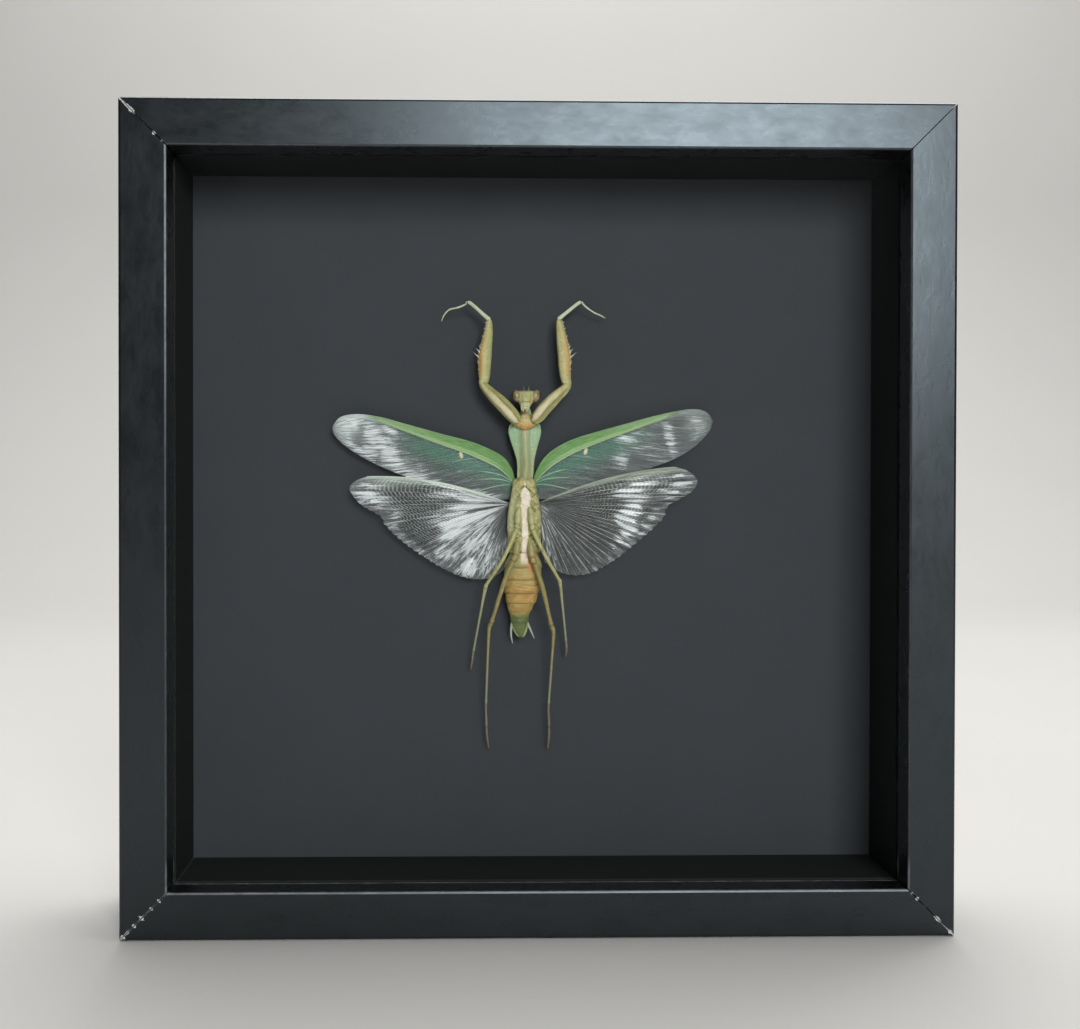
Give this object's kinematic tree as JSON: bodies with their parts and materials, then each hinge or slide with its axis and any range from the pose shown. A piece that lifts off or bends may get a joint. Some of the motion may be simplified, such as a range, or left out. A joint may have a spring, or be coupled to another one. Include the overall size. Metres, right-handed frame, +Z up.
{
  "type": "framed mantis specimen",
  "caption": "Dried winged mantis mounted belly outwards on dark card behind glass in a square black box frame.",
  "frame": {"origin": "middle of the frame's footprint, on the underside of the bottom rail", "axes": "+X along the bottom rail to the right as seen from the front, +Y from the glass to the back, +Z up"},
  "size_m": [0.25, 0.045, 0.25],
  "materials": {
    "rail_foil": "satin black foil wrapped over wood fibre, fine wavy grain",
    "pane_glass": "clear float glass",
    "liner_black": "matt black",
    "card_grey": "matt dark blue-grey card",
    "hardboard": "pressed fibre board",
    "zinc_steel": "zinc plated sheet",
    "dried_glue": "clear dried glue",
    "cuticle_tan": "dry satin insect shell, tan to yellow-green",
    "cuticle_green": "dry satin insect shell, pale green",
    "cuticle_ochre": "dry satin insect shell, ochre with green bands",
    "leg_olive": "dry satin insect shell, olive to brown",
    "wing_green": "veined membrane, green front edge",
    "wing_clear": "clear veined membrane with a silvery sheen"
  },
  "bodies": {
    "root": {"rail_bottom": "rail_foil", "rail_left": "rail_foil", "rail_top": "rail_foil", "rail_right": "rail_foil", "glass_pane": "pane_glass", "liner_bottom": "liner_black", "liner_left": "liner_black", "liner_top": "liner_black", "liner_right": "liner_black", "backing_card": "card_grey", "back_panel": "hardboard", "spring_point_bottom_1": "zinc_steel", "spring_point_bottom_2": "zinc_steel", "spring_point_left_1": "zinc_steel", "spring_point_left_2": "zinc_steel", "spring_point_top_1": "zinc_steel", "spring_point_top_2": "zinc_steel", "spring_point_right_1": "zinc_steel", "spring_point_right_2": "zinc_steel", "hanging_plate": "zinc_steel", "glue_dab": "dried_glue", "head": "cuticle_tan", "prothorax": "cuticle_green", "thorax": "cuticle_tan", "abdomen": "cuticle_ochre", "foreleg_left": "cuticle_tan", "foreleg_right": "cuticle_tan", "midleg_left": "leg_olive", "midleg_right": "leg_olive", "hindleg_left": "leg_olive", "hindleg_right": "leg_olive", "forewing_left": "wing_green", "forewing_right": "wing_green", "hindwing_left": "wing_clear", "hindwing_right": "wing_clear"}
  },
  "joints": []
}
